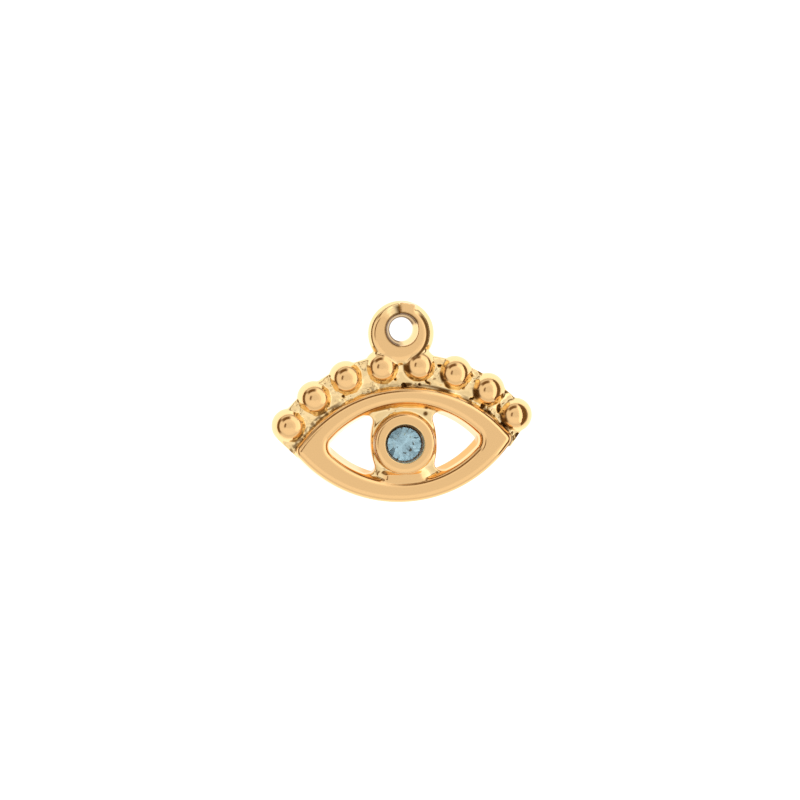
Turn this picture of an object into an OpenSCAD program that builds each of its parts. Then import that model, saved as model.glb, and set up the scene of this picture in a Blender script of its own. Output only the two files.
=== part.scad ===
// Evil eye pendant: one cast charm with a round cut stone set in its iris.
// X runs across the eye, Y runs up to the loop and Z comes out of the face.
// The charm lies on its flat back at Z = 0, with the middle of its box at X = Y = 0.

/* [Eye] */
// Length of the eye's face from corner to corner
eye_l = 14.2; // [13:0.1:16]
// Height of the eye's face over both lids
eye_h = 7.36; // [6.8:0.02:8.4]
// Width of the upper lid's face at its middle
lid_w = 1.03; // [0.98:0.01:1.3]
// Width of the lower lid's face at its middle
lower_lid_w = 1.25; // [0.98:0.01:1.4]
// Metal between a corner of the eye and the opening's corner
corner_w = 1.85; // [1.4:0.05:2.2]
// Height of the lids above the back
lid_t = 1.7; // [1.4:0.05:2]
// How far the lids' outer wall leans out between face and back
lid_draft = 0.2; // [0.1:0.05:0.4]
// How far the openings' walls lean in between face and back
opening_draft = 0.3; // [0.1:0.05:0.4]
// Radius of the crown along the edges of a lid
crown_r = 0.6; // [0.55:0.01:0.8]
// Distance from a lid's edge to the middle of the crown
crown_inset = 0.48; // [0.44:0.01:0.49]
// How far the crown stops short of its top, beside the flat land
crown_land = 0.12; // [0.08:0.01:0.16]
// Radius that rounds each corner of the eye
eye_corner_r = 0.5; // [0.5:0.05:0.9]
// Radius that rounds each corner of the openings
opening_corner_r = 0.75; // [0.5:0.05:1]

/* [Iris] */
// Diameter of the collet's face
collet_d = 3.9; // [3.5:0.05:4.2]
// How far the collet's wall leans out between face and back
collet_draft = 0.13; // [0.05:0.01:0.15]
// Height of the collet above the back
collet_t = 1.95; // [1.85:0.05:2.3]
// Width of the chamfer round the collet's face
collet_chamfer = 0.08; // [0.04:0.01:0.12]
// How far the iris web stands out from the collet's foot at its middle
web_ledge = 0.09; // [0.04:0.01:0.3]
// Radius of the iris web's bulging sides
web_side_r = 4.6; // [4:0.1:7]
// Height of the iris web above the back
web_t = 1.15; // [0.8:0.05:1.35]
// Radius that rounds the four corners between the web and the lids
web_corner_r = 0.4; // [0.3:0.05:0.5]

/* [Stone] */
// Diameter of the stone at its girdle
stone_d = 2.2; // [1.9:0.05:2.4]
// Diameter across the table's corners
table_d = 1.2; // [1:0.05:1.4]
// Height of the crown above the girdle
crown_h = 0.4; // [0.3:0.02:0.5]
// Thickness of the girdle
girdle_h = 0.1; // [0.06:0.01:0.14]
// Depth of the pavilion below the girdle
pavilion_h = 0.85; // [0.7:0.05:1]
// Diameter across the corners of the small flat at the stone's point
culet_d = 0.16; // [0.1:0.02:0.24]
// How far the table lies below the collet's face
stone_sink = 0.2; // [0.1:0.02:0.25]
// Room between the stone and the cone under it
stone_gap = 0.05; // [0.03:0.01:0.08]
// Room between the stone's girdle and the seat's wall
seat_room = 0.15; // [0.1:0.01:0.2]
// Number of main facets round the crown
main_facets = 8; // [8:1:12]
// Share of the way from table to girdle at which the star facets end
star_share = 0.52; // [0.4:0.02:0.6]
// Share of the way from point to girdle at which the pavilion's facets split
split_share = 0.3; // [0.2:0.02:0.5]

/* [Lashes] */
// Number of beads along the upper lid
bead_n = 8; // [6:2:8]
// Diameter of each bead
bead_d = 2.28; // [2.1:0.02:2.4]
// Room between neighbouring beads
bead_gap = 0.145; // [0.08:0.005:0.2]
// Height of the beads above the back
bead_t = 1.78; // [1.6:0.02:2]
// How far each bead's foot lies inside the bead
foot_inset = 0.08; // [0.05:0.01:0.12]
// Radius of the arc through the beads' centres
lash_r = 9.35; // [9.2:0.05:10]
// Distance from the upper lid's top edge to the beads' arc, at the middle
lash_off = 1.49; // [1.35:0.02:1.65]
// How far the lash plate reaches outside the arc of beads
plate_reach = 0.75; // [0.5:0.05:0.9]
// Height of the lash plate above the back
plate_t = 1.1; // [0.8:0.05:1.2]
// How far along the lower lid the corner gussets reach, from the eye's corner
gusset_run = 0.35; // [0.3:0.05:0.6]

/* [Loop] */
// Diameter of the loop
loop_d = 4.3; // [4:0.05:4.6]
// Thickness of the loop, whose outer edge is fully round
loop_t = 1.5; // [1.3:0.05:1.7]
// Diameter of the hole for a jump ring
hole_d = 1.55; // [1.2:0.05:1.8]
// Distance from the beads' arc to the loop's middle
loop_stand = 2.03; // [1.9:0.01:2.3]
// How far the loop was cast to the right of the eye's middle
loop_shift = 0.17; // [0:0.01:0.2]
// How far the hole lies above the loop's middle
hole_shift = 0.27; // [0:0.01:0.35]
// Radius that rounds the hole's front edge
hole_round = 0.4; // [0.2:0.05:0.5]

/* [Hidden] */
$fn = 96;

gold = [0.90, 0.68, 0.38];
aqua = [0.50, 0.72, 0.80];

// Each eye-shaped outline is two arcs that meet at its corners. The radius of
// such an arc follows from the outline's length and height.
function arc_r(l, h) = (l * l + h * h) / (4 * h);

opening_l = eye_l - 2 * corner_w;
opening_h = eye_h - lid_w - lower_lid_w;
// The iris and the openings have their middle at the eye's origin. The face
// around them has its own middle, because the lower lid is the wider one.
face_y = (lid_w - lower_lid_w) / 2;
face_r = arc_r(eye_l, eye_h);
bead_r = bead_d / 2;
bead_z = bead_t - bead_r;
lash_top = face_y + eye_h / 2 + lash_off;
lash_drop = lash_r - lash_top;
lash_pitch = 2 * asin((bead_d + bead_gap) / (2 * lash_r));
web_w = collet_d + 2 * (collet_draft + web_ledge);
stone_r = stone_d / 2;
seat_r = stone_r + seat_room;
hole_r = hole_d / 2;
loop_r = loop_d / 2;
loop_rise = lash_top + loop_stand;
hole_rise = loop_rise + hole_shift;

// The box's height runs from the lower lid's back edge to the loop's top.
charm_top = loop_rise + loop_r;
charm_bottom = face_y - eye_h / 2 - lid_draft;
eye_y = -(charm_top + charm_bottom) / 2;

// Heights of the stone's parts above the back
table_z = collet_t - stone_sink;
girdle_top_z = table_z - crown_h;
girdle_z = girdle_top_z - girdle_h;
culet_z = girdle_z - pavilion_h;

// Overlap that lets a corner's arc cross the side arcs cleanly
cross = 0.01;
// Length by which a cutter passes the faces that it cuts
over = 0.5;

// Half section of a wall with a crowned top that turns about an eye's arc
module wall_section(r) {
    crown_z = lid_t - sqrt(pow(crown_r, 2) - pow(crown_land, 2));
    intersection() {
        polygon([[0, 0], [r + lid_draft, 0], [r, lid_t], [0, lid_t]]);
        union() {
            square([r + lid_draft, crown_z]);
            translate([r - crown_inset, crown_z]) circle(crown_r);
            square([r - crown_inset, lid_t]);
        }
    }
}

// Half section of the cutter that leaves the same crown inside an opening
module opening_section(r) {
    crown_z = lid_t - sqrt(pow(crown_r, 2) - pow(crown_land, 2));
    lean = opening_draft / lid_t;
    union() {
        polygon([
            [0, -over], [r - lean * (lid_t + over), -over],
            [r + lean * over, lid_t + over], [0, lid_t + over]
        ]);
        difference() {
            translate([0, crown_z]) square([r + crown_inset, lid_t + over - crown_z]);
            translate([r + crown_inset, crown_z]) circle(crown_r);
        }
    }
}

module turned(r, cut) {
    rotate_extrude() if (cut) opening_section(r); else wall_section(r);
}

// An eye-shaped solid: two turned solids cross between the tangent points of
// the corner arcs, and a small turned solid rounds each corner.
module eye_form(l, h, corner_r, cut) {
    r = arc_r(l, h);
    drop = r - h / 2;
    corner_x = sqrt(pow(r - corner_r, 2) - pow(drop, 2));
    tangent_x = corner_x * r / (r - corner_r);
    depth = lid_t + 2 * over;
    intersection() {
        translate([0, -drop, 0]) turned(r, cut);
        translate([0, drop, 0]) turned(r, cut);
        translate([-tangent_x, -h, -over]) cube([2 * tangent_x, 2 * h, depth]);
    }
    for (side = [-1, 1])
        translate([side * corner_x, 0, 0]) turned(corner_r + cross, cut);
}

// Centre of the bead at a signed half step from the middle of the row
function lash_point(step) = [
    lash_r * sin(step * lash_pitch),
    lash_r * cos(step * lash_pitch) - lash_drop
];

function lash_step(i) = i - (bead_n - 1) / 2;

module bead() {
    intersection() {
        translate([0, 0, bead_z]) sphere(bead_r);
        translate([-bead_r, -bead_r, 0]) cube([bead_d, bead_d, bead_t]);
    }
    cylinder(r = bead_r - foot_inset, h = bead_z);
}

// Plate that joins the beads to the upper lid
module lash_plate() {
    reach = lash_r + plate_reach;
    half_angle = (bead_n - 1) / 2 * lash_pitch;
    linear_extrude(plate_t) difference() {
        intersection() {
            translate([0, -lash_drop]) circle(reach);
            translate([0, -lash_drop]) polygon([
                [0, 0], 2 * reach * [-sin(half_angle), cos(half_angle)],
                [0, 2 * reach], 2 * reach * [sin(half_angle), cos(half_angle)]
            ]);
        }
        translate([0, face_y + eye_h / 2 - face_r]) circle(face_r - lid_w / 2);
    }
}

// Gusset from the right end bead to the lower lid, along the tangent from a
// point on the lower lid's back edge to the bead
module corner_gusset() {
    bead = lash_point(lash_step(bead_n - 1));
    rise = face_y + face_r - eye_h / 2;
    toe_x = eye_l / 2 + lid_draft - gusset_run;
    toe = [toe_x, rise - sqrt(pow(face_r + lid_draft, 2) - pow(toe_x, 2))];
    to_toe = toe - bead;
    turn = atan2(to_toe[1], to_toe[0]) + acos(bead_r / norm(to_toe));
    linear_extrude(plate_t) polygon([
        bead, bead + bead_r * [cos(turn), sin(turn)], toe,
        [eye_l / 2 - corner_w / 2, 0]
    ]);
}

module lashes() {
    for (i = [0 : bead_n - 1]) {
        place = lash_point(lash_step(i));
        translate([place[0], place[1], 0]) bead();
    }
    lash_plate();
    corner_gusset();
    mirror([1, 0, 0]) corner_gusset();
}

// Metal that rounds the corner between the web's right side and the upper lid.
// Its circle touches the web's side from outside and the lid's arc from inside.
module web_corner() {
    lid_r = arc_r(opening_l, opening_h) - opening_draft / 2;
    side = [web_w / 2 - web_side_r, 0];
    lid = [0, opening_h / 2 - arc_r(opening_l, opening_h)];
    to_side = web_side_r + web_corner_r - cross;
    to_lid = lid_r - web_corner_r + cross;
    apart = norm(side - lid);
    along = (to_lid * to_lid - to_side * to_side + apart * apart) / (2 * apart);
    off = sqrt(to_lid * to_lid - along * along);
    way = (side - lid) / apart;
    middle = lid + along * way + off * [way[1], -way[0]];
    at_side = side + (web_side_r - 0.3) * (middle - side) / norm(middle - side);
    at_lid = lid + (lid_r + 0.3) * (middle - lid) / norm(middle - lid);
    difference() {
        polygon([middle, at_lid, [at_side[0] - 0.2, at_lid[1] + 0.2], at_side]);
        translate(middle) circle(web_corner_r);
    }
}

// Web behind the iris, which leaves an opening on each side
module iris_web() {
    linear_extrude(web_t) {
        intersection() {
            translate([web_side_r - web_w / 2, 0]) circle(web_side_r);
            translate([web_w / 2 - web_side_r, 0]) circle(web_side_r);
            square([web_w, opening_h + lid_w], center = true);
        }
        for (flip_x = [0, 1], flip_y = [0, 1])
            mirror([flip_x, 0]) mirror([0, flip_y]) web_corner();
    }
}

module collet() {
    collet_r = collet_d / 2;
    rotate_extrude() polygon([
        [0, 0], [collet_r + collet_draft, 0], [collet_r, collet_t - collet_chamfer],
        [collet_r - collet_chamfer, collet_t], [0, collet_t]
    ]);
}

// Seat for the stone: a straight wall, a narrow ledge and a cone under it
module seat() {
    point_r = culet_d / 2 + stone_gap;
    ledge_z = girdle_z - stone_gap;
    rotate_extrude() polygon([
        [0, culet_z - stone_gap], [point_r, culet_z - stone_gap],
        [stone_r + stone_gap, ledge_z], [seat_r, ledge_z],
        [seat_r, collet_t + over], [0, collet_t + over]
    ]);
}

// Ring with a fully round outer edge and narrow flat lands on both faces
module loop() {
    edge_r = sqrt(pow(loop_t / 2, 2) + pow(crown_land, 2));
    edge_x = loop_r - edge_r;
    translate([loop_shift, loop_rise, 0]) rotate_extrude() intersection() {
        square([loop_r + over, loop_t]);
        union() {
            square([edge_x, loop_t]);
            translate([edge_x, loop_t / 2]) circle(edge_r);
        }
    }
}

// A straight bore whose front edge flares in a quarter round
module loop_hole() {
    round_x = hole_r + hole_round - cross;
    round_z = loop_t - hole_round + cross;
    translate([loop_shift, hole_rise, -over])
        cylinder(r = hole_r, h = loop_t + 2 * over);
    translate([loop_shift, hole_rise, 0]) rotate_extrude() difference() {
        translate([0, round_z]) square([round_x, hole_round + over]);
        translate([round_x, round_z]) circle(hole_round);
    }
}

module casting() {
    color(gold) translate([0, eye_y, 0]) difference() {
        union() {
            difference() {
                union() {
                    translate([0, face_y, 0])
                        eye_form(eye_l, eye_h, eye_corner_r, false);
                    lashes();
                }
                eye_form(opening_l, opening_h, opening_corner_r, true);
            }
            iris_web();
            collet();
            loop();
        }
        seat();
        loop_hole();
    }
}

// A ring of n points at one height, turned by a share of a step
function ring(n, r, z, turn) = [
    for (i = [0 : n - 1])
        [r * cos((i + turn) * 360 / n), r * sin((i + turn) * 360 / n), z]
];

// The stone is the solid that its facet corners span. On the crown and on the
// pavilion a ring of points between the main facets lies in their planes.
module stone() {
    half_step = cos(180 / main_facets);
    table_r = table_d / 2;
    star_r = table_r + star_share * (stone_r - table_r);
    star_fall = crown_h * (star_r * half_step - table_r) / (stone_r - table_r);
    culet_r = culet_d / 2;
    split_r = culet_r + split_share * (stone_r - culet_r);
    split_rise = pavilion_h * (split_r - culet_r) * half_step
        / (stone_r - culet_r * half_step);
    corners = concat(
        ring(main_facets, table_r, table_z, 0),
        ring(main_facets, star_r, table_z - star_fall, 0.5),
        ring(2 * main_facets, stone_r, girdle_top_z, 0),
        ring(2 * main_facets, stone_r, girdle_z, 0),
        ring(main_facets, split_r, culet_z + split_rise, 0.5),
        ring(main_facets, culet_r, culet_z, 0.5)
    );
    color(aqua) translate([0, eye_y, 0]) hull() polyhedron(
        corners, [[for (i = [0 : len(corners) - 1]) i]]
    );
}

casting();
stone();
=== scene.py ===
"""Looks of an evil eye pendant: a polished, gold-plated casting and its cut stone.

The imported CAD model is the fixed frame. The casting and the stone are modelled again in
finer detail in the places where the frame has them, and lie on a white light table.
"""

from math import asin, atan2, cos, hypot, pi, radians, sin, sqrt
from random import Random

import bmesh
import bpy
from bpy.props import FloatProperty, FloatVectorProperty, IntProperty, PointerProperty
from mathutils import Matrix, Vector, noise


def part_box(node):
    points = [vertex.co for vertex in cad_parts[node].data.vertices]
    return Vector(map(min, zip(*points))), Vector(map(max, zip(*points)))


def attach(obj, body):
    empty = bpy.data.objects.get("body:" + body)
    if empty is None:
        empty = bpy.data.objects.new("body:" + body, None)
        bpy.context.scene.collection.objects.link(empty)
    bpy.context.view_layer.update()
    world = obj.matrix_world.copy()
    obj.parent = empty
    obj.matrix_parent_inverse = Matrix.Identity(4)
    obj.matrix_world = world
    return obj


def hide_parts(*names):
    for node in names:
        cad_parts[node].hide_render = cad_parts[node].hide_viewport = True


bl_info = {
    "name": "Evil Eye Pendant",
    "version": (1, 0, 0),
    "blender": (4, 5, 0),
    "location": "View3D > Sidebar > Pendant",
    "description": "Models a gold-plated evil eye charm and its stone in their CAD model's frame",
    "category": "Object",
}

# Pieces are modelled on a bench where one unit is a millimetre, because the tools that
# fuse and round a surface have a smallest step of 0.1 mm in metres. The bench's origin
# is the middle of the iris.
MM = 0.001
# Heights on the bench where cutters start and end, clear of the casting.
BELOW, ABOVE = -1, 3

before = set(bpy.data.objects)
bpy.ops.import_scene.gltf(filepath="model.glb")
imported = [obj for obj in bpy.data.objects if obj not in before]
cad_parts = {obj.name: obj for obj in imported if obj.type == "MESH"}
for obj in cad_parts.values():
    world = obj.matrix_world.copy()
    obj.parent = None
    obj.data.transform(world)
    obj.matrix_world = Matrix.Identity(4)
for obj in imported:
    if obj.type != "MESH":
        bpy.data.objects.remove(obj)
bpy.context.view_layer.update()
CASTING_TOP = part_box("casting")[1].z / MM
STONE_LOW, STONE_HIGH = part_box("stone")
EYE_Y = (STONE_LOW.y + STONE_HIGH.y) / 2


def linear(hex_colour):
    """An sRGB hex colour as linear red, green, blue and alpha."""
    channels = [int(hex_colour[i : i + 2], 16) / 255 for i in (0, 2, 4)]
    return tuple(
        c / 12.92 if c <= 0.04045 else ((c + 0.055) / 1.055) ** 2.4 for c in channels
    ) + (1.0,)


# Sizes and colours


def length(name, description, mm):
    return FloatProperty(
        name=name, description=description, default=mm * MM, min=0, unit="LENGTH", precision=5
    )


class EyeSizes(bpy.types.PropertyGroup):
    """Sizes of the two lids, the web and the collet."""

    face_length: length("Length", "Eye's face from corner to corner", 14.2)
    face_height: length("Height", "Eye's face over both lids", 7.36)
    upper_lid: length("Upper lid", "Width of the upper lid's face at its middle", 1.03)
    lower_lid: length("Lower lid", "Width of the lower lid's face at its middle", 1.25)
    corner_width: length("Corner width", "Metal between eye's corner and opening's", 1.85)
    lid_top: length("Lid top", "Height of the lids above the back", 1.7)
    outer_draft: length("Outer draft", "Lean of the lids' outer wall", 0.2)
    inner_draft: length("Inner draft", "Lean of the openings' walls", 0.38)
    crown: length("Crown", "Radius of the crown along a lid's edges", 0.6)
    crown_inset: length("Crown inset", "From a lid's edge to the crown's middle", 0.48)
    land: length("Land", "Half width of the flat along a lid's top", 0.12)
    eye_corner: length("Eye corner", "Radius of the eye's corners", 0.5)
    opening_corner: length("Opening corner", "Radius of the openings' corners", 0.75)
    collet_width: length("Collet", "Diameter of the collet's face", 3.9)
    collet_draft: length("Collet draft", "Lean of the collet's wall", 0.13)
    collet_fall: length("Collet fall", "How far the collet's face falls over its round edge", 0.12)
    collet_round: length("Collet round", "Width of the collet's round edge", 0.3)
    web_fill: length("Web fill", "Rise of the web where it flows into the lower lid", 0.5)
    web_width: length("Web", "Width of the web at its middle", 4.34)
    web_side: length("Web side", "Radius of the web's bulging sides", 4.6)
    web_top: length("Web top", "Height of the web above the back", 1.15)
    web_corner: length("Web corner", "Radius of the corners between web and lids", 0.4)
    face_turn: FloatProperty(
        name="Face turn", description="How far the face was filed out of line with the openings",
        default=radians(0.8), subtype="ANGLE",
    )


class LashSizes(bpy.types.PropertyGroup):
    """Sizes of the row of beads and of the loop above it."""

    beads: IntProperty(name="Beads", description="Beads along the upper lid", default=8, min=2)
    bead_width: length("Bead", "Diameter of each bead", 2.28)
    bead_gap: length("Gap", "Room between neighbouring beads", 0.145)
    bead_top: length("Bead top", "Height of the beads above the back", 1.78)
    foot_inset: length("Foot inset", "How far a bead's foot lies inside it", 0.08)
    arc_radius: length("Arc", "Radius of the arc through the beads", 9.35)
    arc_rise: length("Arc rise", "From the upper lid's edge to the arc, at the middle", 1.49)
    plate_reach: length("Plate reach", "How far the plate passes the arc of beads", 0.75)
    plate_top: length("Plate top", "Height of the plate above the back", 1.1)
    gusset_run: length("Gusset run", "Reach of the gussets along the lower lid", 0.35)
    gusset_fill: FloatProperty(
        name="Gusset fill", description="How far the right gusset, cast hollow, covers its bead",
        default=0.78, min=0.5, max=1, subtype="FACTOR",
    )
    loop_width: length("Loop", "Diameter of the loop", 4.3)
    loop_top: length("Loop top", "Thickness of the loop", 1.5)
    loop_stand: length("Loop stand", "From the beads' arc to the loop's middle", 2.03)
    loop_shift: length("Loop shift", "Loop's offset to the right", 0.17)
    hole_width: length("Hole", "Diameter of the hole for a jump ring", 1.55)
    hole_shift: length("Hole shift", "Hole's offset upwards in the loop", 0.27)
    mouth_width: length("Mouth", "Diameter of the hole's front edge", 2.08)
    mouth_round: length("Mouth round", "Radius that rounds the hole's front edge", 0.13)
    loop_back: length("Loop back", "Offset of the loop's back edge to the right", 0.13)
    loop_drift: length("Loop drift", "From there to its front edge, to the left", 0.33)
    sprue_step: length("Sprue step", "Step where the casting sprue was filed off", 0.26)
    lump_height: length("Lumps", "Height of the low lumps in the recesses", 0.15)
    lump_width: length("Lump width", "Size of the lumps' noise", 0.8)
    speckle_height: length("Speckles", "Height of the fine grain in patches", 0.09)
    speckle_width: length("Speckle width", "Size of the fine grain's noise", 0.22)
    pit_depth: length("Pits", "Depth of the pits in the recesses", 0.22)
    pit_width: length("Pit width", "Size of the pits' noise", 0.36)


class StoneSizes(bpy.types.PropertyGroup):
    """Sizes of the cut stone and its seat."""

    facets: IntProperty(name="Facets", description="Main facets round the crown", default=8, min=6)
    table_width: length("Table", "Diameter across the table's corners", 1.2)
    crown_height: length("Crown", "Height of the crown above the girdle", 0.4)
    girdle_height: length("Girdle", "Thickness of the girdle", 0.1)
    culet_width: length("Culet", "Diameter of the small flat at the point", 0.16)
    under_gap: length("Under gap", "Room between the stone and the cone under it", 0.05)
    seat_room: length("Seat room", "Room between the girdle and the seat's wall", 0.15)
    glue_rise: length("Glue rise", "Height of the glue at the wall above the girdle", 0.42)
    set_low: length("Set low", "How far below the seat's middle the stone was set", 0.06)
    star_share: FloatProperty(
        name="Star share", description="How far down the crown the star facets reach",
        default=0.52, min=0.3, max=0.7, subtype="FACTOR",
    )
    split_share: FloatProperty(
        name="Split share", description="How far up the pavilion its main facets split",
        default=0.3, min=0.1, max=0.6, subtype="FACTOR",
    )


class Finish(bpy.types.PropertyGroup):
    """Colours of the metal, the stone and the light table."""

    def colour(label, description, hex_colour):
        return FloatVectorProperty(
            name=label, description=description, subtype="COLOR", size=4, min=0, max=1,
            default=linear(hex_colour),
        )

    gold: colour("Gold", "Pale yellow gold plate", "F3C68A")
    recess: colour("Recess", "Thinner plate low on the casting, less polished", "F7D69C")
    dull: colour("Creases", "Thin pale plate in the creases", "F9DDA8")
    # Painted shade: a darker orange on the openings' walls, most where they face up and on the
    # right.
    wall: colour("Walls", "Plate on the openings' walls, out of the media's reach", "E8AC56")
    # Painted shade and painted dark reflections: dark brown laid in pits, creases and along edges
    # and feet.
    compound: colour("Compound", "Polishing compound left in pits and creases", "6E4B23")
    # Glue round the stone, its dark brown also painted shade in the seat.
    seat: colour("Seat", "Dark glue round the stone", "98754F")
    glass: colour("Glass", "Body colour of the stone", "C4E7F1")
    foil: colour("Foil", "Silvered back of the stone", "F8FAFB")
    # Painted dark reflections: the colour of the stone's facets that are painted dark.
    bare: colour("Bare back", "Facets that the silver missed", "2E4650")
    table_white: colour("Light table", "Lit opal acrylic", "FFFFFF")
    tent: colour("Tent", "White nylon of the light tent", "FFFFFF")
    gap: colour("Tent gaps", "Brown room seen through the tent's openings", "7C613F")


# Bench tools


def bench_sizes(group):
    """A property group's sizes by name, with lengths in millimetres."""
    sizes = {}
    for name, prop in group.bl_rna.properties.items():
        if name in {"rna_type", "name"}:
            continue
        value = getattr(group, name)
        sizes[name] = value / MM if getattr(prop, "unit", "NONE") == "LENGTH" else value
    return sizes


def only_none():
    if bpy.context.object and bpy.context.object.mode != "OBJECT":
        bpy.ops.object.mode_set(mode="OBJECT")
    bpy.ops.object.select_all(action="DESELECT")


def only(obj):
    """Selects this object alone and makes it the active one."""
    only_none()
    obj.select_set(True)
    bpy.context.view_layer.objects.active = obj


def edit(obj, selected="DESELECT"):
    only(obj)
    bpy.ops.object.mode_set(mode="EDIT")
    bpy.ops.mesh.select_mode(type="VERT")
    bpy.ops.mesh.select_all(action=selected)


def leave():
    bpy.ops.object.mode_set(mode="OBJECT")


def apply_modifier(obj, kind, **settings):
    only(obj)
    mod = obj.modifiers.new(kind.lower(), kind)
    for name, value in settings.items():
        setattr(mod, name, value)
    bpy.ops.object.modifier_apply(modifier=mod.name)


def displace(obj, name, strength, texture=None):
    """Moves a surface up by the weights of this name, and by a texture about its middle."""
    apply_modifier(
        obj, "DISPLACE", direction="Z", vertex_group=name + "_group", strength=strength,
        texture=texture, texture_coords="LOCAL", mid_level=0.5 if texture else 0,
    )


def face_outwards():
    """Turns all faces in edit mode outwards and leaves it."""
    bpy.ops.mesh.select_all(action="SELECT")
    bpy.ops.mesh.normals_make_consistent(inside=False)
    leave()


def combine(obj, tool, operation, solver="EXACT"):
    """Cuts or intersects obj with a tool, which is used up."""
    apply_modifier(obj, "BOOLEAN", object=tool, operation=operation, solver=solver)
    bpy.data.objects.remove(tool)
    return obj


def join(name, parts):
    only(parts[0])
    for part in parts[1:]:
        part.select_set(True)
    bpy.ops.object.join()
    parts[0].name = name
    return parts[0]


def copy_to(obj, x, y):
    """A copy of obj with its own mesh, moved on the bench."""
    only(obj)
    bpy.ops.object.duplicate()
    copy = bpy.context.object
    copy.location = (x, y, 0)
    bpy.ops.object.transform_apply()
    return copy


def turned(rings, x=0.0, y=0.0, sides=192, drift=0.0):
    """A turned form: a disc that is extruded and resized from ring to ring.

    rings holds (radius, height) pairs from the bottom disc to the last one. The last
    ring lies to the left of the first one by the drift.
    """
    radius, z = rings[0]
    depth = rings[-1][1] - z
    only_none()
    bpy.ops.mesh.primitive_circle_add(
        vertices=sides, radius=radius, fill_type="NGON", location=(x, y, z)
    )
    obj = bpy.context.object
    bpy.ops.object.mode_set(mode="EDIT")
    bpy.ops.mesh.select_all(action="SELECT")
    for next_radius, next_z in rings[1:]:
        aside = -drift * (next_z - z) / depth if drift else 0
        bpy.ops.mesh.extrude_region_move(TRANSFORM_OT_translate={"value": (aside, 0, next_z - z)})
        x += aside
        grow = next_radius / radius
        bpy.ops.transform.resize(value=(grow, grow, 1), center_override=(x, y, next_z))
        radius, z = next_radius, next_z
    face_outwards()
    bpy.ops.object.transform_apply()
    return obj


def trim(obj, point, outward):
    """Cuts off what lies beyond a plane and closes the cut."""
    edit(obj, "SELECT")
    bpy.ops.mesh.bisect(
        plane_co=point, plane_no=outward, use_fill=True, clear_outer=True, threshold=1e-5
    )
    leave()


def slab(corners, height):
    """A four-cornered slab on the back's plane."""
    only_none()
    bpy.ops.mesh.primitive_plane_add(size=1)
    obj = bpy.context.object
    around = sorted(obj.data.vertices, key=lambda v: atan2(v.co.y, v.co.x))
    for vertex, corner in zip(around, corners):
        vertex.co = (corner.x, corner.y, 0)
    edit(obj, "SELECT")
    bpy.ops.mesh.extrude_region_move(TRANSFORM_OT_translate={"value": (0, 0, height)})
    face_outwards()
    return obj


def mirrored(obj, axis=0):
    """A copy of obj, mirrored across the middle of the eye."""
    copy = copy_to(obj, 0, 0)
    copy.scale[axis] = -1
    bpy.ops.object.transform_apply()
    edit(copy)
    face_outwards()
    return copy


def pick(obj, test):
    """Selects in edit mode the vertices whose place passes a test."""
    mesh = bmesh.from_edit_mesh(obj.data)
    for vert in mesh.verts:
        vert.select = test(vert.co)
    mesh.select_flush_mode()
    bmesh.update_edit_mesh(obj.data)


def ramp(value, low, high):
    """A smooth rise from 0 at low to 1 at high."""
    t = min(max((value - low) / (high - low), 0), 1)
    return t * t * (3 - 2 * t)


def band(value, low, full, fade, high):
    """A smooth rise from 0 at low to 1 at full, and a fall from fade to 0 at high."""
    return ramp(value, low, full) * (1 - ramp(value, fade, high))


def near(value, middle, half):
    """1 at the middle, falling smoothly to 0 at half on both sides."""
    return 1 - ramp(abs(value - middle), 0.5 * half, half)


def patches(place, scale, low, high):
    """Noise in patches: 0 where it stays below low and 1 where it passes high."""
    return ramp(noise.noise(scale * place), low, high)


def distance(place, x=0, y=0):
    """How far a place lies from a point, seen from above."""
    return hypot(place.x - x, place.y - y)


def toward(way, middle, half):
    """1 in directions within half of the middle one, in degrees, with soft limits."""
    off = abs((atan2(way.y, way.x) - radians(middle) + pi) % (2 * pi) - pi)
    return 1 - ramp(off, radians(half - 8), radians(half + 8))


def store(obj, name, values, domain="POINT"):
    """Stores values as an attribute, which a material can read."""
    obj.data.attributes.new(name, "FLOAT", domain).data.foreach_set("value", values)


def weigh(obj, name, weight):
    """Stores a weight of each vertex as an attribute and as a vertex group."""
    group = obj.vertex_groups.new(name=name + "_group")
    values = [weight(vertex.co, vertex.normal) for vertex in obj.data.vertices]
    for index, value in enumerate(values):
        if value > 0.01:
            group.add([index], value, "REPLACE")
    store(obj, name, values)


def to_place(obj):
    """Moves a finished piece from the bench into the CAD model's frame."""
    only(obj)
    obj.scale = (MM, MM, MM)
    obj.location = (0, EYE_Y, 0)
    bpy.ops.object.transform_apply()


# The casting


def arc_radius(face_length, face_height):
    """Radius of the two arcs that meet in the corners of an eye-shaped outline."""
    return (face_length**2 + face_height**2) / (4 * face_height)


def face_y(size):
    """The face's middle, which lies low because the lower lid is the wider one."""
    return (size["upper_lid"] - size["lower_lid"]) / 2


def upper_arc(size):
    """Radius of the upper lid's outer edge, and where its centre lies in y."""
    radius = arc_radius(size["face_length"], size["face_height"])
    return radius, face_y(size) + size["face_height"] / 2 - radius


def opening_size(size):
    """Length and height of the eye-shaped outline round both openings."""
    return (
        size["face_length"] - 2 * size["corner_width"],
        size["face_height"] - size["upper_lid"] - size["lower_lid"],
    )


def crown_arc(size, steps=8):
    """Points of the crown's arc as (inset from its outer limit, height)."""
    crown = size["crown"]
    middle = size["lid_top"] - sqrt(crown**2 - size["land"] ** 2)
    top = asin((size["lid_top"] - middle) / crown)
    turns = [top * i / steps for i in range(steps + 1)]
    return [(crown * (1 - cos(turn)), middle + crown * sin(turn)) for turn in turns]


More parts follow.
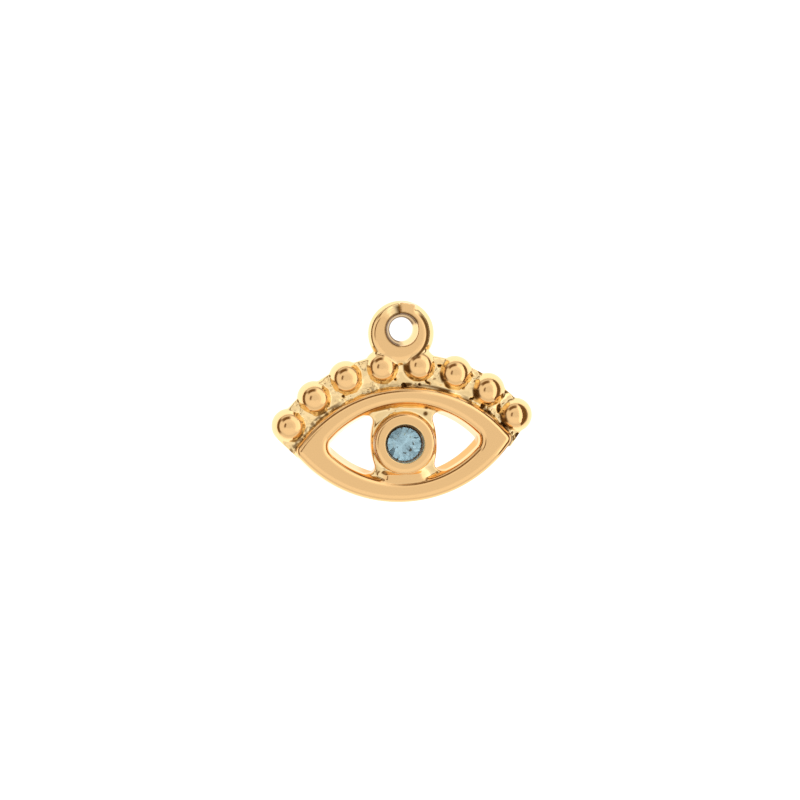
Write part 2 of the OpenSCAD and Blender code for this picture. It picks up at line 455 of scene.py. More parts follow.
def lid_disc(size, radius, x, y, sides):
    """A disc with a leaning wall and a crowned rim, the start of a lid."""
    lean = size["outer_draft"] / size["lid_top"]
    limit = radius - size["crown_inset"] + size["crown"]
    rings = [(radius + size["outer_draft"], 0)]
    for inset, z in crown_arc(size):
        wall = radius + lean * (size["lid_top"] - z)
        rings.append((min(wall, limit - inset), z))
    return turned(rings, x, y, sides)


def opening_disc(size, radius, x, y, sides):
    """The cutter for an opening: its wall leans in and its mouth flares over the crown."""
    lean = size["inner_draft"] / size["lid_top"]
    limit = radius + size["crown_inset"] - size["crown"]
    rings = [(radius - size["inner_draft"] + lean * BELOW, BELOW)]
    for inset, z in crown_arc(size):
        wall = radius - lean * (size["lid_top"] - z)
        rings.append((max(wall, limit + inset), z))
    rings.append((rings[-1][0] + 0.01, size["lid_top"] + 0.5))
    return turned(rings, x, y, sides)


def eye_shape(size, disc, face_length, face_height, corner):
    """Solids that fill an eye-shaped outline: a middle and two round corners."""
    radius = arc_radius(face_length, face_height)
    drop = radius - face_height / 2
    corner_x = sqrt((radius - corner) ** 2 - drop**2)
    tangent_x = corner_x * radius / (radius - corner)
    middle = combine(
        disc(size, radius, 0, -drop, 256), disc(size, radius, 0, drop, 256), "INTERSECT"
    )
    for side in (-1, 1):
        trim(middle, (side * tangent_x, 0, 0), (side, 0, 0))
    corners = [disc(size, corner + 0.01, side * corner_x, 0, 64) for side in (-1, 1)]
    return [middle] + corners


def lids(size):
    """Both lids of the eye, open between them."""
    parts = eye_shape(size, lid_disc, size["face_length"], size["face_height"], size["eye_corner"])
    for part in parts:
        only(part)
        part.rotation_euler.z = size["face_turn"]
        part.location.y = face_y(size)
        bpy.ops.object.transform_apply()
    for cutter in eye_shape(size, opening_disc, *opening_size(size), size["opening_corner"]):
        for part in parts[1:]:
            combine(part, copy_to(cutter, 0, 0), "DIFFERENCE")
        combine(parts[0], cutter, "DIFFERENCE")
    return parts


def arc_middle(lash, size):
    """Height of the centre of the arc through the beads."""
    return face_y(size) + size["face_height"] / 2 + lash["arc_rise"] - lash["arc_radius"]


def bead_places(lash, size):
    """Centres of the beads along their arc, from left to right."""
    pitch = 2 * asin((lash["bead_width"] + lash["bead_gap"]) / (2 * lash["arc_radius"]))
    turns = [(i - (lash["beads"] - 1) / 2) * pitch for i in range(lash["beads"])]
    radius, middle = lash["arc_radius"], arc_middle(lash, size)
    return [(radius * sin(turn), radius * cos(turn) + middle) for turn in turns]


def bead_row(lash, size):
    """One bead, a ball cut flat at the back with a foot under it, and its copies."""
    radius = lash["bead_width"] / 2
    middle = lash["bead_top"] - radius
    only_none()
    bpy.ops.mesh.primitive_uv_sphere_add(
        segments=96, ring_count=64, radius=radius, location=(0, 0, middle)
    )
    ball = bpy.context.object
    bpy.ops.object.transform_apply()
    trim(ball, (0, 0, 0), (0, 0, -1))
    foot = radius - lash["foot_inset"]
    bead = join("bead", [ball, turned([(foot, 0), (foot, middle)], sides=64)])
    row = [copy_to(bead, x, y) for x, y in bead_places(lash, size)]
    bpy.data.objects.remove(bead)
    return row


def lash_plate(lash, size):
    """The plate between the beads and the upper lid."""
    low = arc_middle(lash, size)
    reach = lash["arc_radius"] + lash["plate_reach"]
    plate = turned([(reach, 0), (reach, lash["plate_top"])], 0, low, 256)
    places = bead_places(lash, size)
    for side, (x, y) in ((-1, places[0]), (1, places[-1])):
        along = Vector((x, y - low, 0)).normalized()
        trim(plate, (0, low, 0), (side * along.y, -side * along.x, 0))
    lid_radius, lid_middle = upper_arc(size)
    inner = lid_radius - size["upper_lid"] / 2
    under = turned([(inner, BELOW), (inner, ABOVE)], 0, lid_middle, 256)
    return combine(plate, under, "DIFFERENCE")


def gusset(lash, size, side, fill):
    """The gusset from an end bead to the lower lid, on the right (1) or the left (-1)."""
    bead = Vector(bead_places(lash, size)[-1])
    radius = fill * lash["bead_width"] / 2
    lid_radius = arc_radius(size["face_length"], size["face_height"])
    lid_middle = face_y(size) + lid_radius - size["face_height"] / 2
    toe_x = size["face_length"] / 2 + size["outer_draft"] - lash["gusset_run"]
    back = lid_radius + size["outer_draft"]
    toe = Vector((toe_x, lid_middle - sqrt(back**2 - toe_x**2)))
    way = toe - bead
    turn = atan2(way.y, way.x) + pi / 2 - asin(radius / way.length)
    shoulder = bead + radius * Vector((cos(turn), sin(turn)))
    inside = Vector(((size["face_length"] - size["corner_width"]) / 2, 0))
    corners = [Vector((side * c.x, c.y)) for c in (inside, toe, shoulder, bead)]
    return slab(corners, lash["plate_top"])


def stone_levels(stone):
    """The stone's girdle radius and its heights: table, girdle top, girdle, culet."""
    top = STONE_HIGH.z / MM
    girdle_top = top - stone["crown_height"]
    radius = (STONE_HIGH.x - STONE_LOW.x) / MM / 2
    return radius, top, girdle_top, girdle_top - stone["girdle_height"], STONE_LOW.z / MM


def iris(size):
    """The web behind the iris with its four corners, and the collet without its seat."""
    offset = size["web_side"] - size["web_width"] / 2
    rings = [(size["web_side"], 0), (size["web_side"], size["web_top"])]
    web = combine(turned(rings, offset), turned(rings, -offset), "INTERSECT")
    reach = (size["face_height"] - size["lower_lid"]) / 2
    for side in (-1, 1):
        trim(web, (0, side * reach, 0), (0, side, 0))
    face = size["collet_width"] / 2
    rings = [(face + size["collet_draft"], 0)]
    for share in (0, 0.25, 0.5, 0.75, 1):
        z = CASTING_TOP - size["collet_fall"] * (1 - share) ** 2
        rings.append((face - size["collet_round"] * share, z))
    collet = turned(rings)
    right = web_corner(size)
    low_right = mirrored(right, 1)
    return [web, collet, right, low_right, mirrored(right, 0), mirrored(low_right, 0)]


def seat_cutter(size, stone):
    """The stone's seat: a straight wall, a slope of glue and a cone under it."""
    radius, _, _, girdle, point = stone_levels(stone)
    gap = stone["under_gap"]
    wall = radius + stone["seat_room"]
    rings = [
        (stone["culet_width"] / 2 + gap, point - gap),
        (radius + gap, girdle - gap),
        (wall, girdle + stone["glue_rise"]),
    ]
    # The seat's rounded mouth, as (outwards, upwards) from the top of its wall.
    mouth = ((0, -0.12), (0.01, -0.05), (0.05, -0.01), (0.12, 0.01), (0.13, 1))
    return turned(rings + [(wall + out, CASTING_TOP + up) for out, up in mouth])


def web_corner(size):
    """Metal that rounds the corner between the web's right side and the upper lid.

    Its circle touches the web's side from outside and the opening's arc from inside.
    """
    corner = size["web_corner"]
    radius = arc_radius(*opening_size(size))
    lid_radius = radius - size["inner_draft"] / 2
    side = Vector((size["web_width"] / 2 - size["web_side"], 0))
    lid = Vector((0, opening_size(size)[1] / 2 - radius))
    to_side = size["web_side"] + corner
    to_lid = lid_radius - corner
    apart = (side - lid).length
    along = (to_lid**2 - to_side**2 + apart**2) / (2 * apart)
    way = (side - lid) / apart
    off = sqrt(to_lid**2 - along**2) * Vector((way.y, -way.x))
    middle = lid + along * way + off
    sunk = 0.3
    at_side = side + (size["web_side"] - sunk) * (middle - side).normalized()
    at_lid = lid + (lid_radius + sunk) * (middle - lid).normalized()
    behind = Vector((at_side.x - 0.2, at_lid.y + 0.2))
    fill = slab((middle, at_lid, behind, at_side), size["web_top"])
    hollow = turned([(corner, BELOW), (corner, ABOVE)], *middle, 96)
    return combine(fill, hollow, "DIFFERENCE")


def loop_middle(lash, size):
    y = arc_middle(lash, size) + lash["arc_radius"] + lash["loop_stand"]
    return Vector((lash["loop_shift"], y, lash["loop_top"] / 2))


def sprue_stub(lash, size):
    """What is left of the sprue: a low flat at the top of the loop's edge."""
    x, y, _ = loop_middle(lash, size)
    from_middle = ((0.0, 1.3), (0.8, 1.3), (0.95, 1.86), (-0.1, 2.08))
    corners = [Vector((x + dx, y + dy)) for dx, dy in from_middle]
    return slab(corners, lash["loop_top"] - 0.03)


def top_loop(lash, size):
    """The ring at the top with its round outer edge, still without its hole."""
    x, y, half = loop_middle(lash, size)
    edge = hypot(half, size["land"])
    middle = lash["loop_width"] / 2 - edge
    start = asin(half / edge)
    rings = [
        (middle + edge * cos(start * a / 10), half + edge * sin(start * a / 10))
        for a in range(-10, 11)
    ]
    return turned(rings, x + lash["loop_back"], y, drift=lash["loop_drift"])


def hole_cutter(lash, size):
    """The hole, set a little high: a straight bore, a cone and a rounded mouth."""
    x, y, _ = loop_middle(lash, size)
    hole = lash["hole_width"] / 2
    mouth = lash["mouth_width"] / 2
    curve = lash["mouth_round"]
    lean = atan2(mouth - hole, lash["loop_top"] / 2)
    round_edge = [
        (mouth - curve * (sin(a) - 1), lash["loop_top"] - curve * (1 - cos(a)))
        for a in [lean + (pi / 2 - lean) * (1 - i / 6) for i in range(7)]
    ]
    rings = [(hole, BELOW), (hole, lash["loop_top"] / 2)]
    # Rings along the cone carry the painted shade in the hole.
    for share in (0.2, 0.4, 0.6, 0.8):
        rings.append(tuple(a + share * (b - a) for a, b in zip(rings[1], round_edge[0])))
    rings += round_edge
    rings.append((mouth + curve, lash["loop_top"] + 1))
    return turned(rings, x, y + lash["hole_shift"], 128)


def file_sprue(charm, lash, size):
    """Lowers the loop's face to the left of the place where the sprue was filed off."""
    middle = loop_middle(lash, size) + Vector((0, lash["hole_shift"], 0))
    hole = lash["hole_width"] / 2

    def lowered(place, normal):
        way = place - middle
        turn = atan2(way.y, way.x)
        ring = band(hypot(way.x, way.y) - hole, 0.1, 0.3, 0.7, 0.95) * ramp(place.z, 1.0, 1.3)
        return ring * band(turn, radians(92), radians(97), radians(104), radians(150))

    weigh(charm, "sprue", lowered)
    displace(charm, "sprue", -lash["sprue_step"])


def fill_web(charm, size):
    """Raises the web below the collet, where the metal flows into the lower lid."""
    level = size["lid_top"] - 0.16

    def raised(place, normal):
        if place.z < 0.9 or normal.z < 0.1:
            return 0
        share = near(place.x, -0.1, 1.9) * band(-place.y, 1.5, 2.1, 2.9, 3.1)
        return share * max(level - place.z, 0) / size["web_fill"]

    weigh(charm, "fill", raised)
    displace(charm, "fill", size["web_fill"])


def off_web(place, low=2.6, high=3.0):
    """0 round the iris and on the web, and 1 between the lashes."""
    return ramp(distance(place), low, high)


def hollows(obj, passes):
    """How hollow the surface is round each vertex, smoothed over its neighbours."""
    mesh = bmesh.new()
    mesh.from_mesh(obj.data)
    around = [[edge.other_vert(vert) for edge in vert.link_edges] for vert in mesh.verts]
    depth = [
        vert.normal.dot(sum((other.co for other in others), Vector()) / len(others) - vert.co)
        for vert, others in zip(mesh.verts, around)
    ]
    for _ in range(passes):
        depth = [
            (value + sum(depth[other.index] for other in others)) / (1 + len(others))
            for value, others in zip(depth, around)
        ]
    mesh.free()
    return depth


def clouds(name, scale, contrast):
    texture = bpy.data.textures.new(name, "CLOUDS")
    texture.noise_scale = scale
    texture.noise_depth = 1
    texture.contrast = contrast
    return texture


def grain(charm, lash, size, stone):
    """Casting grain out of the tumbling media's reach. Returns how hollow each place was."""
    seat = stone_levels(stone)[0] + stone["seat_room"]
    loop = loop_middle(lash, size)
    beads = bead_places(lash, size)

    def recessed(place, normal):
        """The level floor between the forms, off the loop and the beads."""
        share = band(place.z, 0.85, 1.05, 1.25, 1.4) * ramp(normal.z, 0.5, 0.95)
        if share > 0:
            off_loop = distance(place, loop.x, loop.y) - lash["loop_width"] / 2
            off_beads = min(distance(place, x, y) for x, y in beads) - lash["bead_width"] / 2
            share *= ramp(off_loop, 0.1, 0.3) * ramp(off_beads, -0.25, 0.0)
        return share

    def in_seat(place, normal):
        inside = 1 - ramp(distance(place), seat - 0.01, seat + 0.06)
        return inside * (1 - ramp(place.z, CASTING_TOP - 0.2, CASTING_TOP - 0.1))

    def speckled(place, normal):
        """Fine grain in patches of the lashes' recess and in one patch of the web."""
        web = 0.7 * near(hypot(0.5 * (place.x + 0.55), place.y - 2.15), 0, 0.35)
        return recessed(place, normal) * max(off_web(place) * patches(place, 0.8, -0.05, 0.25), web)

    opening = arc_radius(*opening_size(size))
    centre = opening - opening_size(size)[1] / 2

    def wall_shade(place, normal):
        """Painted shade on the walls of the openings, most of all on those that face up on the
        right.
        """
        if hypot(place.x, abs(place.y) + centre) > opening + 0.02:
            return 0
        share = off_web(place, 2.08, 2.16) * (1 - ramp(normal.z, 0.3, 0.7))
        share *= (1 - 0.7 * ramp(-normal.y, 0.2, 0.6)) * (1 - 0.7 * ramp(-place.x, 2.6, 3.2))
        return share * (1 - ramp(place.z, 1.0, 1.15))

    def lumpy(place, normal):
        """Low lumps between the lashes and hardly any on the web."""
        return recessed(place, normal) * (0.25 + 0.75 * off_web(place))

    weigh(charm, "lumps", lumpy)
    weigh(charm, "recess", lambda place, normal: 1 - ramp(place.z, 1.3, 1.5))
    # Painted shade on the openings' walls.
    weigh(charm, "wall", wall_shade)
    weigh(charm, "speckle", speckled)
    # The seat's glue, its dark brown also painted shade.
    weigh(charm, "seat", in_seat)
    creases = hollows(charm, 2)
    store(charm, "dull", [ramp(depth, 0.0006, 0.003) for depth in hollows(charm, 8)])
    displace(charm, "lumps", lash["lump_height"], clouds("lumps", lash["lump_width"], 1.6))
    displace(charm, "speckle", lash["speckle_height"], clouds("fine", lash["speckle_width"], 2.0))

    def pitted(place, normal):
        """Pits between the lashes, more of them to the right; the web has none."""
        least = 0.46 - 0.14 * ramp(place.x, -0.5, 2.5)
        share = recessed(place, normal) * off_web(place, 3.0, 3.2)
        return share * patches(place, 1 / lash["pit_width"], least, least + 0.15)

    weigh(charm, "pits", pitted)
    displace(charm, "pits", -lash["pit_depth"])
    return creases


def paint_shade(charm, lash, size, creases):
    """Stores painted shade and painted dark reflections: in pits, creases and along steep feet."""
    loop = loop_middle(lash, size)
    middle = loop + Vector((0, lash["hole_shift"], 0))
    hole = lash["hole_width"] / 2
    mouth = lash["mouth_width"] / 2
    ball = lash["bead_width"] / 2
    right_beads = bead_places(lash, size)[lash["beads"] // 2 :]
    lid_radius, lid_middle = upper_arc(size)
    web_blots = ((1.48, 1.84, 0.2), (1.55, 2.28, 0.18), (1.8, 2.28, 0.18))  # x, y, radius

    def beside_lid(place):
        """Painted shadow in a band outside the upper lid: mottled on the left, stippled, then dark.
        """
        lid = hypot(place.x, place.y - lid_middle) - lid_radius
        if not 0 < lid < 0.5 or place.z > 1.45:
            return 0
        left = 0.75 * ramp(-place.x, 3.7, 4.4) * patches(place, 4.5, -0.3, 0.05)
        stipple = 0.45 * near(place.x, -1.4, 1.4) * patches(place, 6, -0.15, 0.2)
        right = ramp(place.x, -1.6, 0.0) * patches(place, 0.9, -0.3, 0.2)
        return max(near(lid, 0.16, 0.18) * max(left, right), near(lid, 0.25, 0.25) * stipple)

    def on_flanks(place):
        """Painted shade in blots on the left flanks of the beads on the right."""
        share = 0
        for x, y in right_beads:
            way = Vector((place.x - x, place.y - y))
            if 0.5 * ball < way.length < ball and place.z < 1.6:
                blot = near(way.length, 0.76 * ball, 0.26) * toward(way, 192, 22)
                share = max(share, blot * patches(place, 2.2, -0.3, 0.1))
        return share

    def on_loop(place):
        """Painted shade as lines in the hole and a blot by the sprue, and a painted dark reflection
        along the loop's right edge.
        """
        way = place - middle
        far = hypot(way.x, way.y)
        if far > 2.5 or place.z < 0.6:
            return 0
        edge = min(abs(far - hole), abs(far - mouth))
        lines = 0.9 * near(edge, 0, 0.14) * toward(way, 140, 120)
        cone = 0.4 * near(far, (hole + mouth) / 2, 0.2) * toward(way, 200, 70)
        sprue = toward(way, 98, 6) * near(far, hole + 0.5, 0.4)
        front = lash["loop_back"] - lash["loop_drift"] * place.z / lash["loop_top"]
        out = Vector((place.x - loop.x - front, place.y - loop.y))
        rim = near(out.length, 1.8, 0.12) * toward(out, -8, 50)
        return max(lines, cone, sprue, rim)

    def at_eye(place, normal):
        """Painted shade and dark reflections: lines round the collet and below the eye's right
        corner, and blots on the web.
        """
        far = distance(place)
        if far < 2.12:
            line = near(far, size["collet_width"] / 2 + 0.03, 0.07) * ramp(place.z, 1.2, 1.35)
            return line * max(0.6 * toward(place, 165, 60), 0.5 * toward(place, 5, 40))
        if place.z < 1.3 and far < 3:
            return max(near(distance(place, x, y), 0, r) for x, y, r in web_blots)
        corner = ramp(place.x, 5.9, 6.5) * ramp(-place.y, -0.2, 0.0)
        return 0.9 * corner * near(place.z, 1.3, 0.3) * (1 - ramp(normal.z, 0.5, 0.8))

    def above_lid(place):
        """Painted shade: a line in the gap between the two middle beads, above the upper lid."""
        line = near(hypot(0.35 * (place.x - 0.39), place.y - 3.79), 0, 0.16)
        return line if place.z <= 1.4 else 0

    values = []
    pits = charm.data.attributes["pits"].data
    for vertex, pit, depth in zip(charm.data.vertices, pits, creases):
        place = vertex.co
        # Pits and creases are painted dark as shade.
        crease = ramp(depth, 0.003, 0.009) * ramp(place.z, 0.7, 0.9)
        crease *= off_web(place, 2.7, 3.0) * patches(place, 1.1, 0.0, 0.3)
        marks = [above_lid(place), beside_lid(place), on_flanks(place), on_loop(place)]
        marks += [at_eye(place, vertex.normal), ramp(pit.value, 0.2, 0.9), crease]
        values.append(max(marks))
    store(charm, "compound", values)


# Materials


def material(name):
    new = bpy.data.materials.new(name)
    new.use_nodes = True
    new.node_tree.nodes.clear()
    return new


def add_node(tree, kind, inputs=None, **settings):
    """Adds a node with its settings. An input is a constant or another node's output."""
    node = tree.nodes.new("ShaderNode" + kind)
    for field, value in settings.items():
        setattr(node, field, value)
    for socket, value in (inputs or {}).items():
        if isinstance(value, bpy.types.NodeSocket):
            tree.links.new(value, node.inputs[socket])
        else:
            node.inputs[socket].default_value = value
    return node


def shade(new, **inputs):
    """Ends a material's nodes with its shader and the output."""
    tree = new.node_tree
    inputs = {socket.replace("_", " "): value for socket, value in inputs.items()}
    shader = add_node(tree, "BsdfPrincipled", inputs)
    add_node(tree, "OutputMaterial", {"Surface": shader.outputs["BSDF"]})
    return new


def gold_plate(finish):
    """Cast brass, tumble polished and plated with pale yellow gold: a warm mirror."""
    plate = material("gold_plate_tumble_polished")
    tree = plate.node_tree
    colour = finish.gold
    shares = {}
    # Each share is an attribute that has the name of the colour it lays over the last.
    for name in ("recess", "dull", "wall", "compound", "seat"):
        shares[name] = add_node(tree, "Attribute", attribute_name=name).outputs["Fac"]
        inputs = {0: shares[name], 6: colour, 7: getattr(finish, name)}
        colour = add_node(tree, "Mix", inputs, data_type="RGBA").outputs[2]
    # Tumbling leaves a soft unevenness about 0.5 mm across.
    place = add_node(tree, "TexCoord").outputs["Object"]
    inputs = {"Vector": place, "Scale": 1 / (0.5 * MM), "Detail": 2.0}
    waves = add_node(tree, "TexNoise", inputs).outputs["Fac"]
    inputs = {"Height": waves, "Strength": 0.25, "Distance": 0.02 * MM}
    bump = add_node(tree, "Bump", inputs).outputs["Normal"]
    # The painted shade is dull, and the glue in the seat, its brown also painted shade, is no
    # metal.
    inputs = {"Value": shares["compound"], "To Min": 0.12, "To Max": 0.45}
    rough = add_node(tree, "MapRange", inputs).outputs["Result"]
    inputs = {"Value": shares["seat"], "To Min": 1.0, "To Max": 0.0}
    metal = add_node(tree, "MapRange", inputs).outputs["Result"]
    return shade(plate, Base_Color=colour, Normal=bump, Roughness=rough, Metallic=metal)


class CHARM_OT_casting(bpy.types.Operator):
    """Model the cast charm and put it in its CAD node's place"""

    bl_idname = "charm.casting"
    bl_label = "Casting"

    def execute(self, context):
        scene = context.scene
        size = bench_sizes(scene.eye_sizes)
        lash = bench_sizes(scene.lash_sizes)
        stone = bench_sizes(scene.stone_sizes)
        parts = lids(size) + bead_row(lash, size) + [lash_plate(lash, size)]
        parts += [gusset(lash, size, -1, 1), gusset(lash, size, 1, lash["gusset_fill"])]
        parts += iris(size) + [top_loop(lash, size), sprue_stub(lash, size)]
        charm = join("charm", parts)
        apply_modifier(charm, "REMESH", mode="VOXEL", voxel_size=0.066)
        apply_modifier(charm, "SMOOTH", iterations=5)
        # The level of the web and the plate, with the feet that rise there, is softer.
        weigh(charm, "soft", lambda place, normal: band(place.z, 0.8, 0.95, 1.3, 1.5))
        apply_modifier(charm, "SMOOTH", iterations=20, vertex_group="soft_group")
        file_sprue(charm, lash, size)
        fill_web(charm, size)
        combine(charm, hole_cutter(lash, size), "DIFFERENCE", "MANIFOLD")
        combine(charm, seat_cutter(size, stone), "DIFFERENCE", "MANIFOLD")
        paint_shade(charm, lash, size, grain(charm, lash, size, stone))
        # The remesh rounds the back's edge, so the back is cut above that and drawn down.
        rounded = 0.1
        trim(charm, (0, 0, rounded), (0, 0, -1))
        edit(charm)
        pick(charm, lambda place: place.z < rounded + 0.002)
        bpy.ops.transform.resize(value=(1, 1, 0), center_override=(0, 0, 0))
        leave()
        to_place(charm)
        bpy.ops.object.shade_smooth_by_angle(angle=radians(60))
        charm.data.materials.clear()
        charm.data.materials.append(gold_plate(scene.finish))
        # The back is the same mirror without the marks of the face and the walls.
        back = material("gold_plate_back")
        shade(back, Base_Color=scene.finish.recess, Metallic=1.0, Roughness=0.12)
        charm.data.materials.append(back)
        for face in charm.data.polygons:
            face.material_index = int(face.normal.z < -0.99)
        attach(charm, "root")
        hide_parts("casting")
        return {"FINISHED"}


# The stone


def silvered_back(finish):
    """Silver foil behind the pavilion, with painted dark reflections on some of its facets."""
    foil = material("silvered_foil")
    tree = foil.node_tree
    bare = add_node(tree, "Attribute", attribute_name="bare").outputs["Fac"]
    inputs = {0: bare, 6: finish.foil, 7: finish.bare}
    colour = add_node(tree, "Mix", inputs, data_type="RGBA").outputs[2]
    return shade(foil, Base_Color=colour, Metallic=1.0, Roughness=0.04)


def facet_corners(count, radius, z, turned_half):
    """A ring of facet corners without faces, turned by half a step or not."""
    only_none()
    bpy.ops.mesh.primitive_circle_add(
        vertices=count, radius=radius, fill_type="NOTHING", location=(0, 0, z),
        rotation=(0, 0, pi / count if turned_half else 0),
    )
    bpy.ops.object.transform_apply()
    return bpy.context.object


class CHARM_OT_stone(bpy.types.Operator):
    """Cut the round stone with table, crown and pavilion facets"""

    bl_idname = "charm.stone"
    bl_label = "Stone"

    def execute(self, context):
        finish = context.scene.finish
        stone = bench_sizes(context.scene.stone_sizes)
        radius, top, girdle_top, girdle, point = stone_levels(stone)
        n = stone["facets"]
        half_step = cos(pi / n)
        table = stone["table_width"] / 2
        culet = stone["culet_width"] / 2
        star = table + stone["star_share"] * (radius - table)
        star_z = top - stone["crown_height"] * (star * half_step - table) / (radius - table)
        split = culet + stone["split_share"] * (radius - culet)
        split_z = point + (girdle - point) * (split - culet) * half_step / (
            radius - culet * half_step
        )
        rings = (
            (n, table, top, False),
            (n, star, star_z, True),
            (2 * n, radius, girdle_top, False),
            (2 * n, radius, girdle, False),
            (n, split, split_z, True),
            (n, culet, point, True),
        )
        gem = join("gem", [facet_corners(*ring) for ring in rings])
        edit(gem, "SELECT")
        bpy.ops.mesh.convex_hull()
        bpy.ops.mesh.select_all(action="SELECT")
        bpy.ops.mesh.dissolve_limited(angle_limit=radians(0.5))
        face_outwards()
        # Lead glass bends light more than plain glass does, so its facets sparkle.
        glass = material("pale_blue_lead_glass")
        shade(glass, Base_Color=finish.glass, Roughness=0.0, IOR=1.56, Transmission_Weight=1.0)
        gem.data.materials.append(glass)
        gem.data.materials.append(silvered_back(finish))
        # Painted dark reflections: random facets, and a spoke in the outer half towards the lower
        # left, are painted dark.
        bare = []
        chance = Random(4)
        for face in gem.data.polygons:
            face.material_index = int(face.center.z < girdle - 1e-4)
            dark_spoke = toward(face.center, 214, 6) * (face.center.xy.length > radius / 2)
            bare.append(max(0.9 * dark_spoke, 0.5 * chance.random() ** 2))
        store(gem, "bare", bare, "FACE")
        to_place(gem)
        gem.location.y = -stone["set_low"] * MM
        bpy.ops.object.transform_apply()
        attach(gem, "root")
        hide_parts("stone")
        return {"FINISHED"}


# Light table, light and camera


def lit_white(name, colour, strength, roughness):
    """White that shines from within and reflects next to nothing."""
    return shade(
        material(name), Base_Color=linear("272727"), Roughness=roughness,
        Emission_Color=colour, Emission_Strength=strength,
    )


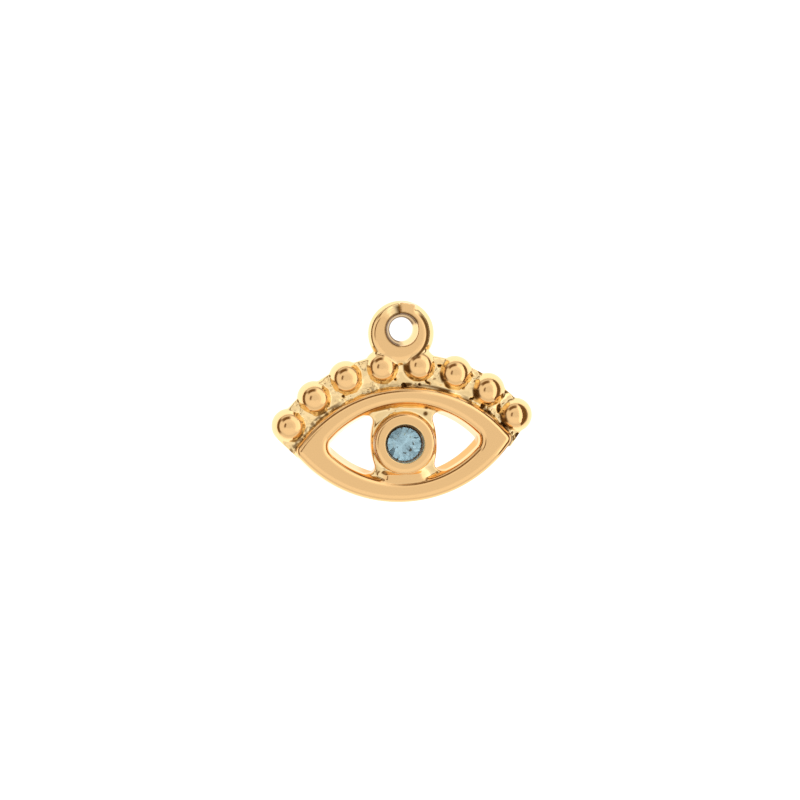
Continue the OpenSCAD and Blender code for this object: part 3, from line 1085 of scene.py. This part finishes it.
class CHARM_OT_stage(bpy.types.Operator):
    """Set the light table, the soft surrounding light and the camera"""

    bl_idname = "charm.stage"
    bl_label = "Light table and camera"

    def execute(self, context):
        scene = context.scene
        finish = scene.finish
        scene.view_settings.view_transform = "Standard"
        only_none()
        # The table lies a hair above the back's plane, so that the back shows from below.
        bpy.ops.mesh.primitive_circle_add(
            vertices=96, radius=0.6, fill_type="NGON", location=(0, 0, 0.01 * MM)
        )
        floor = bpy.context.object
        floor.name = "light_table"
        # Opal acrylic lit from behind is an even white that shows no reflection.
        floor.data.materials.append(lit_white("opal_acrylic_lit", finish.table_white, 1.22, 0.6))
        self.reflector(finish)
        scene.world = self.tent(finish)
        self.camera(scene)
        return {"FINISHED"}

    def reflector(self, finish):
        """A lit card on a strip of felt by the right end: a bright and a dark reflection."""
        felt = shade(material("brown_felt"), Base_Color=finish.gap, Roughness=0.9)
        card_white = lit_white("white_card", finish.tent, 1.45, 0.9)
        for name, low, high, skin in (
            ("felt_strip", 2.0, 4.7, felt),
            ("white_card", 4.7, 10.0, card_white),
        ):
            only_none()
            bpy.ops.mesh.primitive_cube_add(
                size=MM, location=(10.8 * MM, EYE_Y + 3.3 * MM, (low + high) / 2 * MM),
                scale=(0.3, 17.0, high - low),
            )
            card = bpy.context.object
            card.name = name
            card.data.materials.append(skin)
            card.visible_camera = False

    def tent(self, finish):
        """A white tent. Its openings and reflectors are darker or brighter zones.

        A zone is its middle direction and half width round the charm (0 is to the right
        and 90 towards the loop), its lowest and highest angle from straight up, and its
        colour. A half width of 180 goes all round.
        """

        def lit(strength):
            return tuple(strength * channel for channel in finish.tent)

        zones = (
            (0, 180, -9, 26, lit(0.90)),  # top with the lens's opening
            (270, 60, 14, 50, lit(1.05)),  # lit front wall
            (270, 60, 60, 74, lit(0.86)),  # seam in the front wall
            (20, 55, 44, 72, lit(1.35)),  # lit right wall
            (90, 90, 76, 98, lit(0.72)),  # lowest part behind the loop
            (165, 26, 21, 34, finish.gap),  # arm of the lamp
            (110, 28, 48, 69, finish.gap),  # stand behind the loop
            (177, 40, 67, 94, finish.gap),  # open left side
            (15, 50, 78, 94, lit(0.42)),  # shaded right side
        )
        world = bpy.data.worlds.new("white_tent")
        world.use_nodes = True
        tree = world.node_tree
        tree.nodes.clear()
        # How steeply a ray rises, and its direction round the charm.
        way = add_node(tree, "TexCoord").outputs["Generated"]
        unit = add_node(tree, "VectorMath", {0: way}, operation="NORMALIZE").outputs["Vector"]
        inputs = {0: unit, 1: (0, 0, 1)}
        up = add_node(tree, "VectorMath", inputs, operation="DOT_PRODUCT").outputs["Value"]
        inputs = {0: way, 1: (1, 1, 0)}
        flat = add_node(tree, "VectorMath", inputs, operation="MULTIPLY").outputs["Vector"]
        level = add_node(tree, "VectorMath", {0: flat}, operation="NORMALIZE").outputs["Vector"]
        light = lit(1.0)
        for middle, half, low, high, colour in zones:
            # A zone's soft limits, each as the angles where it starts and is full.
            limits = [(up, high + 4, high - 4)]
            if low > 0:
                limits.append((up, low - 3, low + 3))
            if half < 180:
                turn = radians(middle)
                inputs = {0: level, 1: (cos(turn), sin(turn), 0)}
                facing = add_node(tree, "VectorMath", inputs, operation="DOT_PRODUCT")
                soft = min(12, half / 2)
                limits.append((facing.outputs["Value"], half + soft, half - soft))
            share = 1.0
            for value, start, full in limits:
                low_end, high_end = cos(radians(start)), cos(radians(full))
                inputs = {"Value": value, "From Min": low_end, "From Max": high_end}
                rise = add_node(tree, "MapRange", inputs, interpolation_type="SMOOTHSTEP")
                inputs = {0: share, 1: rise.outputs["Result"]}
                share = add_node(tree, "Math", inputs, operation="MULTIPLY").outputs[0]
            inputs = {0: share, 6: light, 7: colour}
            light = add_node(tree, "Mix", inputs, data_type="RGBA").outputs[2]
        seen = add_node(tree, "LightPath").outputs["Is Camera Ray"]
        inputs = {0: seen, 6: light, 7: lit(1.2)}
        light = add_node(tree, "Mix", inputs, data_type="RGBA").outputs[2]
        back = add_node(tree, "Background", {"Color": light, "Strength": 1.0})
        add_node(tree, "OutputWorld", {"Surface": back.outputs["Background"]})
        return world

    def camera(self, scene):
        """The photograph's view: a little from the left and from above the loop."""
        yaw, pitch, roll = radians(5.2), radians(4), radians(2.4)
        away = Vector((-sin(yaw) * cos(pitch), sin(pitch), cos(yaw) * cos(pitch)))
        up = (Vector((0, 1, 0)) - away.y * away).normalized()
        right = up.cross(away)
        right_turned = right * cos(roll) - up * sin(roll)
        up_turned = right * sin(roll) + up * cos(roll)
        # The charm sits a little below the middle of the picture.
        aim = Vector((0, EYE_Y, MM)) + (2.779 * up_turned - 0.247 * right_turned) * MM
        far = 144.3 * MM
        data = bpy.data.cameras.new("camera")
        data.lens = 100
        data.sensor_width = 36
        data.clip_start = 0.005
        camera = bpy.data.objects.new("camera", data)
        axes = Matrix((right_turned, up_turned, away)).transposed()
        camera.matrix_world = Matrix.Translation(aim + away * far) @ axes.to_4x4()
        scene.collection.objects.link(camera)
        scene.camera = camera


class CHARM_PT_panel(bpy.types.Panel):
    """Lists the charm's sizes, colours and operators"""

    bl_idname = "CHARM_PT_panel"
    bl_label = "Evil Eye Pendant"
    bl_space_type = "VIEW_3D"
    bl_region_type = "UI"
    bl_category = "Pendant"

    def draw(self, context):
        for group_name in GROUPS:
            group = getattr(context.scene, group_name)
            box = self.layout.box()
            for name in group.bl_rna.properties.keys():
                if name not in {"rna_type", "name"}:
                    box.prop(group, name)
        for operator in OPERATORS:
            self.layout.operator(operator.bl_idname)


GROUPS = {
    "eye_sizes": EyeSizes,
    "lash_sizes": LashSizes,
    "stone_sizes": StoneSizes,
    "finish": Finish,
}
OPERATORS = (CHARM_OT_casting, CHARM_OT_stone, CHARM_OT_stage)
CLASSES = (*GROUPS.values(), *OPERATORS, CHARM_PT_panel)


def register():
    for cls in CLASSES:
        bpy.utils.register_class(cls)
    for name, group in GROUPS.items():
        setattr(bpy.types.Scene, name, PointerProperty(type=group))


def unregister():
    for name in GROUPS:
        delattr(bpy.types.Scene, name)
    for cls in reversed(CLASSES):
        bpy.utils.unregister_class(cls)


def main():
    register()
    bpy.ops.charm.casting()
    bpy.ops.charm.stone()
    bpy.ops.charm.stage()


if __name__ == "__main__":
    main()
